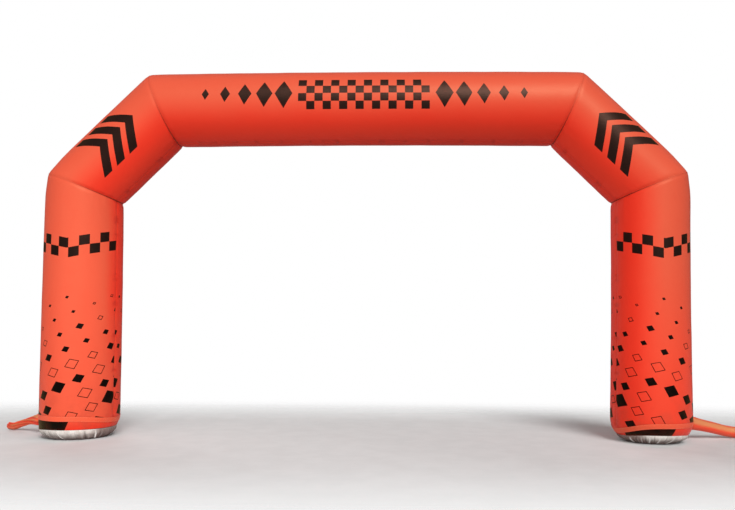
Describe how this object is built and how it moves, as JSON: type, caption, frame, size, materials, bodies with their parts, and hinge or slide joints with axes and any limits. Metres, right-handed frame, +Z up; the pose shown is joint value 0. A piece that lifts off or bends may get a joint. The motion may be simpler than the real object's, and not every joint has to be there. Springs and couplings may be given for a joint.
{
  "type": "inflatable arch",
  "caption": "Free-standing inflatable race arch of mitred cloth tubes on gathered feet, with a limp and an inflated air sleeve.",
  "frame": {"origin": "on the ground, in the middle of the arch's width and depth", "axes": "+X along the arch towards the blower sleeve, +Y towards its back, +Z up"},
  "size_m": [9.2332, 0.928, 4.572],
  "materials": {
    "arch_cloth": "coated woven polyester, orange, printed in black",
    "tape": "woven band, light orange, matt",
    "foot_cloth": "heavy silver-grey coated cloth, gathered, soft sheen",
    "sleeve_cloth": "thin woven cloth, light orange, matt"
  },
  "bodies": {
    "root": {"leg_left": "arch_cloth", "leg_right": "arch_cloth", "shoulder_left": "arch_cloth", "shoulder_right": "arch_cloth", "beam": "arch_cloth", "base_left": "arch_cloth", "base_right": "arch_cloth", "tape_left": "tape", "tape_right": "tape", "foot_left": "foot_cloth", "foot_right": "foot_cloth", "sleeve_outlet": "sleeve_cloth", "sleeve_inlet": "sleeve_cloth"}
  },
  "joints": []
}
